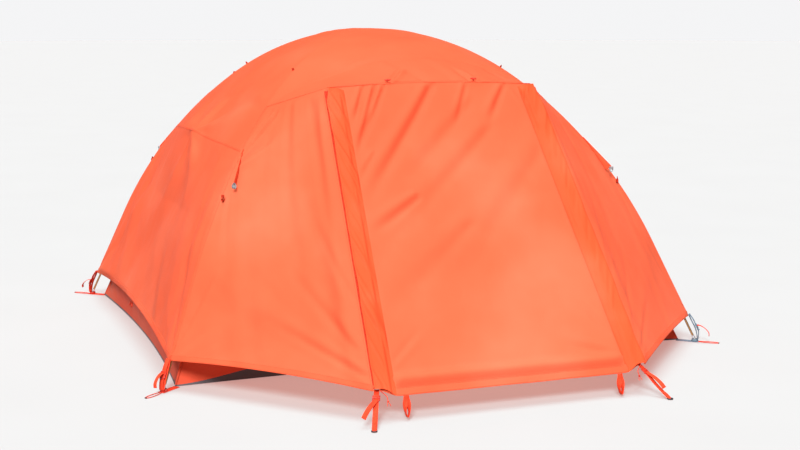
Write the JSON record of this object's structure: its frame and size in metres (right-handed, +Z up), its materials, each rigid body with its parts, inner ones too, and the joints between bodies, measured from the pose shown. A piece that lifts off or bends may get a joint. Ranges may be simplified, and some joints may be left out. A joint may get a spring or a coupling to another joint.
{
  "type": "dome tent",
  "caption": "Freestanding dome tent on two crossed poles and a brow pole, with an inner tent and a full rain fly whose zipped doors open over a vestibule on each long side.",
  "frame": {"origin": "on the ground under the crossing of the poles, the middle of the tent's footprint", "axes": "+Z up; +Y out through the far door, -Y out through the near door; X along the tent's length between its end walls"},
  "size_m": [2.3868, 3.334, 1.29],
  "materials": {
    "pole": "satin anodised, bronze",
    "bare_aluminium": "satin",
    "dark_plastic": "moulded, fine satin",
    "elastic": "braided",
    "black_webbing": "woven",
    "floor_fabric": "coated taffeta",
    "tub_fabric": "coated taffeta",
    "mesh": "fine net",
    "zip_black": "moulded",
    "fly_fabric": "coated ripstop taffeta, slight sheen",
    "flap_fabric": "coated taffeta",
    "orange_webbing": "woven",
    "reflective": "reflective woven",
    "red_cord": "braided"
  },
  "bodies": {
    "tent": {"main_pole_a": "pole", "main_pole_b": "pole", "brow_pole": "pole", "pole_ferrules": "bare_aluminium", "pole_tips": "dark_plastic", "shock_cords": "elastic", "crossing_hub": "dark_plastic", "pole_clips": "dark_plastic", "clip_straps": "black_webbing", "floor_sheet": "floor_fabric", "floor_walls": "tub_fabric", "inner_end_left": "mesh", "inner_end_right": "mesh", "inner_roof": "mesh", "inner_wall_near": "mesh", "inner_wall_far": "mesh", "inner_zips": "zip_black", "fly_roof": "fly_fabric", "fly_end_left": "fly_fabric", "fly_end_right": "fly_fabric", "fly_side_near_left": "fly_fabric", "fly_side_near_right": "fly_fabric", "fly_side_far_left": "fly_fabric", "fly_side_far_right": "fly_fabric", "fly_zips": "zip_black", "guyout_fins": "flap_fabric", "reflective_loops": "reflective", "side_loops": "orange_webbing", "brow_toggles": "orange_webbing", "fly_pole_ties": "black_webbing", "corner_tabs": "orange_webbing", "corner_buckles": "dark_plastic", "corner_straps": "orange_webbing", "webbing_tails": "orange_webbing", "stake_cord_near_left": "red_cord", "stake_cord_near_right": "red_cord", "stake_cord_far_left": "red_cord", "stake_cord_far_right": "red_cord", "vestibule_buckles": "dark_plastic"},
    "fly_door_near": {"fly_door_near": "fly_fabric", "storm_flaps_near": "flap_fabric", "door_loops_near": "orange_webbing"},
    "inner_door_near": {"inner_door_near": "mesh"},
    "fly_door_far": {"fly_door_far": "fly_fabric", "storm_flaps_far": "flap_fabric", "door_loops_far": "orange_webbing"},
    "inner_door_far": {"inner_door_far": "mesh"},
    "zip_slider_near_left": {"slider_near_left": "zip_black", "pull_near_left": "red_cord"},
    "tension_strap_near_left": {"strap_near_left": "orange_webbing"},
    "zip_slider_near_right": {"slider_near_right": "zip_black", "pull_near_right": "red_cord"},
    "tension_strap_near_right": {"strap_near_right": "orange_webbing"},
    "zip_slider_far_left": {"slider_far_left": "zip_black", "pull_far_left": "red_cord"},
    "tension_strap_far_left": {"strap_far_left": "orange_webbing"},
    "zip_slider_far_right": {"slider_far_right": "zip_black", "pull_far_right": "red_cord"},
    "tension_strap_far_right": {"strap_far_right": "orange_webbing"}
  },
  "joints": [
    {"name": "fly_door_near_swing", "type": "hinge", "parent": "tent", "child": "fly_door_near", "pos_m": [0, -0.746, 1.077], "axis": [-1, 0, 0], "range_deg": [0, 60]},
    {"name": "fly_door_far_swing", "type": "hinge", "parent": "tent", "child": "fly_door_far", "pos_m": [0, 0.746, 1.077], "axis": [1, 0, 0], "range_deg": [0, 60]},
    {"name": "inner_door_near_swing", "type": "hinge", "parent": "tent", "child": "inner_door_near", "pos_m": [-0.3225, -0.857, 0.112], "axis": [0, -0.3805, -0.9248], "range_deg": [0, 28]},
    {"name": "inner_door_far_swing", "type": "hinge", "parent": "tent", "child": "inner_door_far", "pos_m": [-0.3225, 0.857, 0.112], "axis": [0, -0.3805, 0.9248], "range_deg": [0, 28]},
    {"name": "zip_near_left_travel", "type": "slide", "parent": "tent", "child": "zip_slider_near_left", "axis": [0.0612, 0.6307, 0.7736], "range_m": [0, 1.17]},
    {"name": "zip_near_right_travel", "type": "slide", "parent": "tent", "child": "zip_slider_near_right", "axis": [-0.0612, 0.6307, 0.7736], "range_m": [0, 1.17]},
    {"name": "zip_far_left_travel", "type": "slide", "parent": "tent", "child": "zip_slider_far_left", "axis": [0.0612, -0.6307, 0.7736], "range_m": [0, 1.17]},
    {"name": "zip_far_right_travel", "type": "slide", "parent": "tent", "child": "zip_slider_far_right", "axis": [-0.0612, -0.6307, 0.7736], "range_m": [0, 1.17]},
    {"name": "strap_near_left_tension", "type": "slide", "parent": "tent", "child": "tension_strap_near_left", "axis": [0.3112, 0.7495, 0.5843], "range_m": [0, 0.06]},
    {"name": "strap_near_right_tension", "type": "slide", "parent": "tent", "child": "tension_strap_near_right", "axis": [-0.3112, 0.7495, 0.5843], "range_m": [0, 0.06]},
    {"name": "strap_far_left_tension", "type": "slide", "parent": "tent", "child": "tension_strap_far_left", "axis": [0.3112, -0.7495, 0.5843], "range_m": [0, 0.06]},
    {"name": "strap_far_right_tension", "type": "slide", "parent": "tent", "child": "tension_strap_far_right", "axis": [-0.3112, -0.7495, 0.5843], "range_m": [0, 0.06]}
  ]
}
